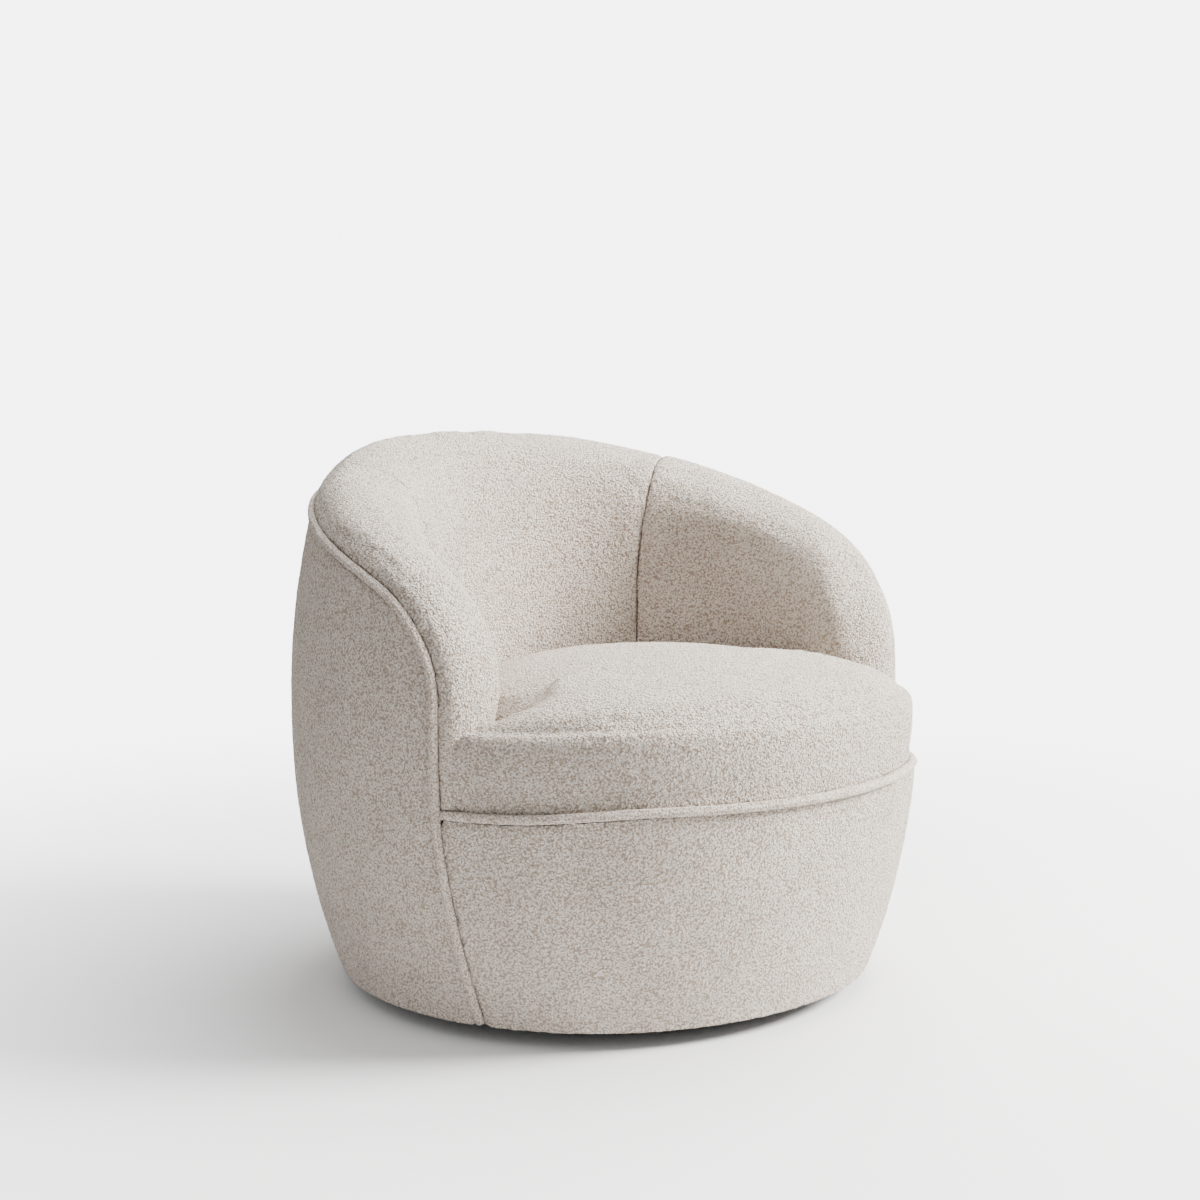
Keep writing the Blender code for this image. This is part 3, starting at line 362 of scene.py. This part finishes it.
def settle(piece):
    """Makes a piece's live modifiers part of its mesh."""
    bpy.context.view_layer.update()
    baked = bpy.data.meshes.new_from_object(piece.evaluated_get(bpy.context.evaluated_depsgraph_get()))
    old = piece.data
    piece.modifiers.clear()
    piece.data = baked
    bpy.data.meshes.remove(old)
    baked.name = piece.name
    for polygon in baked.polygons:
        polygon.use_smooth = True
    return piece


def points_of(piece):
    points = np.zeros(len(piece.data.vertices) * 3)
    piece.data.vertices.foreach_get("co", points)
    return points.reshape(-1, 3)


def normals_of(piece):
    normals = np.zeros(len(piece.data.vertices) * 3, np.float32)
    piece.data.vertex_normals.foreach_get("vector", normals)
    return normals.reshape(-1, 3).astype(float)


def set_points(piece, points):
    piece.data.vertices.foreach_set("co", points.astype(np.float32).ravel())
    piece.data.update()


def fade(values, start, end):
    """0 before start, 1 after end, smooth between them."""
    t = np.clip((values - start) / (end - start), 0.0, 1.0)
    return t * t * (3.0 - 2.0 * t)

# %% Make the padded blanks
PAD_SQUARES, CUSHION_SQUARES, DECK_SQUARES = 0.0050, 0.0056, 0.0070

cushion = smooth_copy("seat_cushion", ["cushion_core"], 3, CUSHION_SQUARES)
back = smooth_copy("inside_back", ["back_pad"], 3, PAD_SQUARES)
right_arm = smooth_copy("inside_arm_right", ["arm_pad_right"], 3, PAD_SQUARES)
left_arm = smooth_copy("inside_arm_left", ["arm_pad_left"], 3, PAD_SQUARES)
deck = smooth_copy("spring_deck", ["deck_pad"], 2, DECK_SQUARES)
for blank in (cushion, back, right_arm, left_arm, deck):
    print(blank.name, len(blank.data.polygons), "squares")

# %% [markdown]
# ## Filling the pads by simulation
#
# Foam pushes its cover outwards until the cloth goes tight. Blender's Cloth does the same with a little
# pressure inside and gravity off. Cushion, back and arms are simulated together, one step of the timeline
# at a time. Cloth under pressure also rounds off a pad's edges, which real covers don't, because they are cut
# and sewn to shape: so only the outward part of each point's travel is kept, and that is capped.

# %% Swell the blanks
FILL_FRAMES = 20
FILL_PRESSURE = 4.0
COVER = 0.0034           # the cover lies this far outside its foam
SWELL = {"seat_cushion": 0.0070, "inside_back": 0.0035, "inside_arm_right": 0.0035, "inside_arm_left": 0.0035}
SLIDE_SHARE = 0.3        # of the simulated travel along the surface


def capped(piece, before, outward):
    """The simulated points, moved out from before by no more than the piece may swell, and never in."""
    step = points_of(piece) - before
    rise = np.sum(step * outward, axis=1)
    along = step - rise[:, None] * outward
    most = SWELL[piece.name]
    eased = most * np.tanh(np.maximum(rise, 0.0) / most)
    length = np.maximum(np.linalg.norm(along, axis=1), 1e-9)
    slid = along * (most * np.tanh(SLIDE_SHARE * length / most) / length)[:, None]
    return before + outward * (COVER + eased)[:, None] + slid


def fill(pieces):
    starts = {piece.name: (points_of(piece), normals_of(piece)) for piece in pieces}
    for piece in pieces:
        cloth = piece.modifiers.new("Filling", "CLOTH")
        cloth.settings.use_pressure = True
        cloth.settings.uniform_pressure_force = FILL_PRESSURE
        cloth.settings.effector_weights.gravity = 0.0
        cloth.settings.quality = 4
    for step in range(1, FILL_FRAMES + 1):
        bpy.context.scene.frame_set(step)
    graph = bpy.context.evaluated_depsgraph_get()
    after = {piece.name: bpy.data.meshes.new_from_object(piece.evaluated_get(graph)) for piece in pieces}
    bpy.context.scene.frame_set(1)
    for piece in pieces:
        piece.modifiers.clear()
        old, piece.data = piece.data, after[piece.name]
        bpy.data.meshes.remove(old)
        set_points(piece, capped(piece, *starts[piece.name]))


PADS = [cushion, back, right_arm, left_arm]
fill(PADS)
print("pads filled")

# %% [markdown]
# ## Fitting the pads to each other
#
# Where two pads meet they press flat against each other. That is done by pulling every point that has
# swollen past a boundary back onto it: the pads of back and arms stop at the seam's plane, and the cushion
# stops at the wall of the seat well. The seams between back and arms start upright at the rim and then
# lean toward the middle of the back, because the panels are cut narrower at the seat; turning the points
# near a seam about the chair's axis, more the lower they are, gives that without opening it.

# %% Trim the pads to their neighbours
SEAM_ANGLE = math.radians(53.0)      # the seams between back and arms, from the middle of the back
SEAM_AIR = 0.0003
SEAM_LEAN = math.radians(3.6)        # how far the seams have turned toward the middle at the seat
LEAN_TOP, LEAN_FOOT = 0.660, 0.500
LEAN_SPREAD = math.radians(16.0)
ARM_BULGE = 0.018
BULGE_START, BULGE_END = math.radians(72.0), math.radians(100.0)     # from the middle of the back
BULGE_FOOT, BULGE_LOW, BULGE_HIGH, BULGE_TOP = 0.36, 0.42, 0.47, 0.58
INNER_R, CREST_R = 0.31, 0.39        # the bulge is full at the first radius and gone at the second
WELL_MIDDLE_Y = -0.093
WELL_LIMIT = 0.2815
DECK_Z = 0.2870


def stop_at_seam(piece, side, keep_back):
    """Pulls points back to the upright plane of one seam; side is +1 for +X."""
    points = points_of(piece)
    normal = np.array([side * math.cos(SEAM_ANGLE), -math.sin(SEAM_ANGLE)])
    beyond = points[:, :2] @ normal
    if keep_back:
        excess = np.maximum(0.0, beyond + SEAM_AIR)
        excess[np.sign(points[:, 0]) != side] = 0.0
    else:
        excess = np.minimum(0.0, beyond - SEAM_AIR)
    points[:, :2] -= excess[:, None] * normal
    set_points(piece, points)


def turned(points, turn):
    """Points turned about the upright axis by an angle each, in radians."""
    x, y = points[:, 0].copy(), points[:, 1].copy()
    points[:, 0] = x * np.cos(turn) - y * np.sin(turn)
    points[:, 1] = x * np.sin(turn) + y * np.cos(turn)
    return points


def lean_seams(piece):
    points = points_of(piece)
    angle = np.arctan2(points[:, 0], points[:, 1])
    near = np.exp(-((np.abs(angle) - SEAM_ANGLE) / LEAN_SPREAD) ** 2)
    share = 1.0 - fade(points[:, 2], LEAN_FOOT, LEAN_TOP)
    set_points(piece, turned(points, np.sign(angle) * SEAM_LEAN * near * share))


def bulge_arm(piece):
    """Swells an arm's inner face over the cushion, most toward its front."""
    points = points_of(piece)
    radius = np.hypot(points[:, 0], points[:, 1])
    angle = np.abs(np.arctan2(points[:, 0], points[:, 1]))
    forward = fade(angle, BULGE_START, BULGE_END)
    height = fade(points[:, 2], BULGE_FOOT, BULGE_LOW) * (1.0 - fade(points[:, 2], BULGE_HIGH, BULGE_TOP))
    inner = 1.0 - fade(radius, INNER_R, CREST_R)
    points[:, :2] *= (1.0 - ARM_BULGE * forward * height * inner / radius)[:, None]
    set_points(piece, points)


for side in (1, -1):
    stop_at_seam(back, side, True)
stop_at_seam(right_arm, 1, False)
stop_at_seam(left_arm, -1, False)
for arm in (right_arm, left_arm):
    bulge_arm(arm)
for pad in (back, right_arm, left_arm):
    lean_seams(pad)
    points = points_of(pad)
    points[:, 2] = np.maximum(points[:, 2], DECK_Z)
    set_points(pad, points)

# %% [markdown]
# ## The seat cushion
#
# The cushion is a T: its neck fills the well and its two ears lie in front of the arms, where they hang
# a centimetre lower because nothing holds them up. Their tips are pulled round until they touch the
# shell's piping. A plain seam runs round the top of the cushion's band and piping round the bottom. Seams
# are made as shallow furrows once the mesh is fine enough to hold them. Trimming the neck to the well
# pinches the mesh where the ears leave it, so those two corners are smoothed again.

# %% Shape the cushion
EAR_DROOP = 0.011
EAR_START, EAR_END = math.radians(30.0), math.radians(60.0)          # the droop's, from the front
NECK_START, NECK_END = math.radians(75.0), math.radians(95.0)
EAR_STRETCH = math.radians(4.6)
STRETCH_START, STRETCH_END = math.radians(50.0), math.radians(62.0)
CUSHION_SEAM_Z = 0.386
SEAM_DEPTH, SEAM_HALF_WIDTH = 0.0018, 0.0045
NECK_CORNER = (0.272, -0.178)        # where each ear leaves the neck
CORNER_REACH, CORNER_PASSES = 0.055, 70
NO_TRIM_Y, FULL_TRIM_Y = -0.190, -0.165      # only what lies behind these is trimmed to the well
SEAM_FOLLOWS = 0.6                   # share of the droop that the seam follows
DROOP_START_R, DROOP_FULL_R = 0.28, 0.38
STRETCH_START_R, STRETCH_FULL_R = 0.29, 0.36
SEAM_START_R, SEAM_FULL_R = 0.30, 0.36
SEAM_START_AHEAD, SEAM_FULL_AHEAD = 0.10, 0.16       # metres in front of the axis


def from_front(points):
    """Each point's angle from the middle of the front, signed like x."""
    return np.arctan2(points[:, 0], -points[:, 1])


def droop(points):
    """How far the cushion's edge hangs at each point: nothing in the middle, most at the ears."""
    angle = np.abs(from_front(points))
    outer = fade(np.hypot(points[:, 0], points[:, 1]), DROOP_START_R, DROOP_FULL_R)
    return EAR_DROOP * fade(angle, EAR_START, EAR_END) * (1.0 - fade(angle, NECK_START, NECK_END)) * outer


def stretch_ears(points):
    """Turns the ears' outer ends toward the back, until they touch the shell's piping."""
    angle = from_front(points)
    outer = fade(np.hypot(points[:, 0], points[:, 1]), STRETCH_START_R, STRETCH_FULL_R)
    turn = EAR_STRETCH * fade(np.abs(angle), STRETCH_START, STRETCH_END) * outer
    return turned(points, np.sign(angle) * turn)


def furrow(piece, across, along_mask, depth, half_width):
    """Presses a groove into a piece where across, a signed distance, is near nought."""
    share = np.maximum(0.0, 1.0 - (across / half_width) ** 2) ** 1.5
    points = points_of(piece) - normals_of(piece) * (depth * share * along_mask)[:, None]
    set_points(piece, points)


def finer(piece):
    """Cuts every face of a piece in four and rounds the result."""
    rounding = piece.modifiers.new("Finer", "SUBSURF")
    rounding.levels = rounding.render_levels = 1
    return settle(piece)


def ease_corners(piece, corner, reach, passes):
    """Smooths a piece near one upright line and its mirror image, where fitting has pinched it."""
    bm = bmesh.new()
    bm.from_mesh(piece.data)
    near = [v for v in bm.verts if math.hypot(abs(v.co.x) - corner[0], v.co.y - corner[1]) < reach]
    for _ in range(passes):
        bmesh.ops.smooth_vert(bm, verts=near, factor=0.5, use_axis_x=True, use_axis_y=True, use_axis_z=True)
    bm.to_mesh(piece.data)
    bm.free()


def fit_cushion(points):
    """Pulls the neck back inside the well, and keeps everything on or above the deck."""
    from_well = points[:, :2] - np.array([0.0, WELL_MIDDLE_Y])
    reach = np.maximum(np.linalg.norm(from_well, axis=1), 1e-6)
    behind = fade(points[:, 1], NO_TRIM_Y, FULL_TRIM_Y)
    over = np.maximum(0.0, reach - WELL_LIMIT) * behind
    points[:, :2] -= from_well * (over / reach)[:, None]
    points[:, 2] = np.maximum(points[:, 2], DECK_Z)
    return points


finer(cushion)
points = fit_cushion(points_of(cushion))
points[:, 2] -= droop(points)
set_points(cushion, stretch_ears(points))
ease_corners(cushion, NECK_CORNER, CORNER_REACH, CORNER_PASSES)
points = points_of(cushion)
height_over_seam = points[:, 2] + droop(points) * SEAM_FOLLOWS - CUSHION_SEAM_Z
rim_mask = fade(np.hypot(points[:, 0], points[:, 1]), SEAM_START_R, SEAM_FULL_R)
rim_mask = rim_mask * fade(-points[:, 1], SEAM_START_AHEAD, SEAM_FULL_AHEAD)
furrow(cushion, height_over_seam, rim_mask, SEAM_DEPTH, SEAM_HALF_WIDTH)
print(cushion.name, len(cushion.data.polygons), "faces")

# %% [markdown]
# ## The outer shell and the front border
#
# The outside is stretched tight over a thin board, so it needs no simulation, only a smooth surface:
# the plain solid's columns are subdivided. The front border's top edge follows the drooping ears.

# %% Shell and border
BORDER_STILL_Z, BORDER_TOP_Z = 0.20, 0.286   # the droop grows from nothing to full between these

shell = smooth_copy("outer_shell", ["shell_cover"], 4)
border = smooth_copy("front_border", ["front_border_cover"], 4)
points = points_of(border)
points[:, 2] -= droop(points) * fade(points[:, 2], BORDER_STILL_Z, BORDER_TOP_Z)
set_points(border, points)
for panel in (shell, border):
    print(panel.name, len(panel.data.polygons), "faces")

# %% [markdown]
# ## Piping
#
# Piping is a cord sewn into a strip of the same fabric. It hides the joint between two panels and stands
# proud of both. A copy of the plain cord is rounded by subdivision, fattened until it fills the joint, and
# given its own, finer curls.

# %% Piping round the shell and the cushion
SHELL_FATTER = 0.0013
CUSHION_FATTER = 0.0012
CUSHION_LOWER = 0.0012   # it is pulled down on to the border by this
CUSHION_PROUD = 1.007    # the cushion's piping is spread outwards by this factor
PROUD_FULL_AHEAD = 0.12  # from this far in front of the axis on


def piping(name, node, fatter):
    cord = smooth_copy(name, [node], 3)
    set_points(cord, points_of(cord) + normals_of(cord) * fatter)
    return cord


shell_piping = piping("shell_piping", "shell_welt", SHELL_FATTER)
cushion_piping = piping("cushion_piping", "cushion_welt", CUSHION_FATTER)
points = points_of(cushion_piping)
points[:, 2] -= droop(points) + CUSHION_LOWER
points = stretch_ears(points)
points[:, :2] *= 1.0 + (CUSHION_PROUD - 1.0) * fade(-points[:, 1], 0.0, PROUD_FULL_AHEAD)[:, None]
set_points(cushion_piping, points)
for cord in (shell_piping, cushion_piping):
    print(cord.name, len(cord.data.polygons), "faces")

# %% [markdown]
# ## Curls you can see against the light
#
# Bump shades the curls but leaves the outline smooth. A little real displacement along each point's normal
# roughens the silhouette and gives the larger knots their own shadows. Blender's built-in cloud
# texture is enough, since the fine curls are in the material. Before that, the panels are pulled down
# beside each piping, because stitches hold them there and the fabric's pile rises only away from them.

# %% Knots and pressed seams
PULL_NEAR, PULL_FAR = 0.004, 0.011   # panels this near a piping are drawn against it
PULL_SHARE = 0.92
GROOVE_REACH = 0.009     # how far from a piping the panels beside it are pulled down
GROOVE_DEPTH = 0.0016

KNOT_SIZE = 0.0062
PAD_KNOTS, PANEL_KNOTS, PIPING_KNOTS = 0.0024, 0.0020, 0.0011        # heights of the knots

knots = bpy.data.textures.new("knots", "CLOUDS")
knots.noise_scale = KNOT_SIZE
knots.noise_depth = 1
knots.noise_basis = "VORONOI_F1"


def knotted(piece, strength, material):
    """Roughens a piece with real knots and gives it its boucle."""
    rough = piece.modifiers.new("Knots", "DISPLACE")
    rough.texture = knots
    rough.texture_coords = "LOCAL"
    rough.direction = "NORMAL"
    rough.mid_level = 0.5
    rough.strength = strength
    settle(piece)
    dress(piece, material)


def dress(piece, material):
    piece.data.materials.clear()
    piece.data.materials.append(material)


def press_beside(piece, cord):
    """Draws a piece's edge against a piping and pulls its surface down there, as the stitches do."""
    cord_points = points_of(cord)
    tree = KDTree(len(cord_points))
    for index, point in enumerate(cord_points):
        tree.insert(point, index)
    tree.balance()
    points = points_of(piece)
    nearest = [tree.find(point) for point in points]
    away = np.array([found[2] for found in nearest])
    toward = np.array([found[0] for found in nearest]) - points
    drawn = PULL_SHARE * (1.0 - fade(away, PULL_NEAR, PULL_FAR))
    sunk = GROOVE_DEPTH * (1.0 - fade(away, 0.0, GROOVE_REACH))
    set_points(piece, points + toward * drawn[:, None] - normals_of(piece) * sunk[:, None])


for pad in (back, right_arm, left_arm):
    finer(pad)
for panel in (back, right_arm, left_arm, shell, border):
    press_beside(panel, shell_piping)
for panel in (cushion, border):
    press_beside(panel, cushion_piping)
for pad in PADS:
    knotted(pad, PAD_KNOTS, cream_boucle)
for panel in (shell, border):
    knotted(panel, PANEL_KNOTS, cream_boucle)
for cord in (shell_piping, cushion_piping):
    knotted(cord, PIPING_KNOTS, piping_boucle)
print("knotted:", ", ".join(piece.name for piece in (*PADS, shell, border, shell_piping, cushion_piping)))

# %% [markdown]
# ## The deck under the cushion
#
# Lifting the cushion shows the deck: a thin foam pad over the springs, under stretched cambric. The springs
# print through it as soft ridges that run from front to back, so the pad's top is pressed down between
# them by a cosine across the seat.

# %% Deck
RIDGE_SPACING = 0.072    # the springs are this far apart
RIDGE_HEIGHT = 0.0012
DECK_LOW_Z, DECK_TOP_Z = 0.279, 0.2835
RIDGE_R, RIDGE_END_R = 0.24, 0.29        # the ridges fade out between these radii

points = points_of(deck)
top = fade(points[:, 2], DECK_LOW_Z, DECK_TOP_Z)
inside = 1.0 - fade(np.hypot(points[:, 0], points[:, 1]), RIDGE_R, RIDGE_END_R)
ridges = np.cos(points[:, 0] * 2.0 * math.pi / RIDGE_SPACING) - 1.0
points[:, 2] += RIDGE_HEIGHT * ridges * top * inside
set_points(deck, points)
dress(deck, cambric)
print(deck.name, len(deck.data.polygons), "faces")

# %% [markdown]
# ## Finishes on the plain frame
#
# What is left of the frame keeps its own shape, because boards, plates, springs and screws are already what
# they look like. Each gets its finish by how its name starts.

# %% Give every plain node its finish
FINISHES = {
    "arm_post": upright_ply, "drum_rib": upright_ply, "front_rib": upright_ply, "front_rail": flat_ply,
    "base_board": flat_ply, "seat_ring": flat_ply, "top_rail": flat_ply,
    "shell_board": fibreboard, "front_border_board": fibreboard,
    "underside_cloth": cambric, "cushion_zip_tape": zip_cloth, "cushion_zip_slider": zinc,
    "plinth": black_plinth, "floor_glide": nylon,
    "lower_swivel_plate": black_steel, "upper_swivel_plate": black_steel,
    "ball_cage": zinc, "lower_plate_screw": zinc, "upper_plate_screw": zinc, "pivot": zinc,
    "seat_spring": zinc, "spring": zinc,
}
for name, node in NODES.items():
    for start, finish in FINISHES.items():
        if name.startswith(start):
            dress(node, finish)
            break

# %% [markdown]
# ## Everything rides on a body
#
# A piece that isn't told what it moves with would be left in the air when the seat turns or the cushion is
# lifted. Each new piece is listed with the plain solids it stands for, and these are hidden.

# %% Ride and replace
DRESSED = [
    (cushion, "cushion", ["cushion_cover", "cushion_core", "cushion_base_cover"], "boucle", 0.85),
    (back, "seat", ["back_pad", "inside_back_cover"], "boucle", 0.95),
    (right_arm, "seat", ["arm_pad_right", "inside_arm_cover_right"], "boucle", 0.95),
    (left_arm, "seat", ["arm_pad_left", "inside_arm_cover_left"], "boucle", 0.95),
    (deck, "seat", ["deck_pad", "deck_cloth"], "cambric", 0.9),
    (shell, "seat", ["shell_cover", "shell_wadding"], "boucle", 1.0),
    (border, "seat", ["front_border_cover", "front_border_wadding"], "boucle", 1.0),
    (shell_piping, "seat", ["shell_welt"], "boucle", None),
    (cushion_piping, "cushion", ["cushion_welt"], "boucle", None),
]
for piece, body, nodes, finish, tightness in DRESSED:
    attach(piece, body)
    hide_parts(*nodes)

# %% [markdown]
# ## Studio
#
# A white room without corners. The floor is a plain sheet that fades into the air away from the chair, so
# that no horizon shows: its paint gives way to a glow of exactly the backdrop's brightness. The backdrop
# looks brighter than it shines, which only a camera ray can tell, so that it stays white without
# flattening the chair. A soft lamp stands in front to the right, another hangs overhead, and the air
# fills in.

# %% Floor and light
FLOOR_HALF = 40.0
AIR = 0.95               # how strongly the surroundings light the chair
BACKDROP = 6.0           # and how bright they look
FADE_NEAR, FADE_FAR = 0.45, 2.2
CHAIR_MIDDLE = (0.0, 0.0, 0.4)
FLOOR_WHITE = (0.86, 0.86, 0.86)
BLACK, WHITE = (0.0, 0.0, 0.0), (1.0, 1.0, 1.0)

floor_mesh = bpy.data.meshes.new("studio_floor")
bm = bmesh.new()
bmesh.ops.create_grid(bm, x_segments=1, y_segments=1, size=FLOOR_HALF)
bm.to_mesh(floor_mesh)
bm.free()
floor = bpy.data.objects.new("studio_floor", floor_mesh)
bpy.context.scene.collection.objects.link(floor)
white, tree, shader = blank_material("studio_white", 0.9)
place = add_node(tree, "ShaderNodeTexCoord").outputs["Object"]
distance = add_node(tree, "ShaderNodeVectorMath", {"operation": "LENGTH"}, _0=place).outputs["Value"]
far = smooth_range(tree, distance, FADE_NEAR, FADE_FAR)
tree.links.new(two_tone(tree, far, FLOOR_WHITE, BLACK), shader.inputs["Base Color"])
seen = add_node(tree, "ShaderNodeLightPath").outputs["Is Camera Ray"]
glow = math_node(tree, "MULTIPLY", far, seen)
tree.links.new(two_tone(tree, glow, BLACK, WHITE), shader.inputs["Emission Color"])
shader.inputs["Emission Strength"].default_value = BACKDROP
shader.inputs["Specular IOR Level"].default_value = 0.0
floor_mesh.materials.append(white)


def soft_light(name, size, place, watts, colour):
    """A round lamp that faces the middle of the chair."""
    data = bpy.data.lights.new(name, "AREA")
    data.shape = "DISK"
    data.size = size
    data.energy = watts
    data.color = colour
    lamp = bpy.data.objects.new(name, data)
    lamp.location = place
    lamp.rotation_euler = (Vector(CHAIR_MIDDLE) - Vector(place)).to_track_quat("-Z", "Y").to_euler()
    bpy.context.scene.collection.objects.link(lamp)


soft_light("key_light", 1.4, (2.4, -2.0, 2.1), 560.0, (1.0, 0.985, 0.96))
soft_light("top_light", 2.5, (0.9, 0.2, 3.0), 150.0, WHITE)
world = bpy.data.worlds.new("studio_air")
bpy.context.scene.world = world
world.use_nodes = True
air = world.node_tree.nodes["Background"]
air.inputs["Color"].default_value = (1.0, 1.0, 1.0, 1.0)
seen = add_node(world.node_tree, "ShaderNodeLightPath").outputs["Is Camera Ray"]
strength = add_node(world.node_tree, "ShaderNodeMapRange", Value=seen, To_Min=AIR, To_Max=BACKDROP)
world.node_tree.links.new(strength.outputs[0], air.inputs["Strength"])
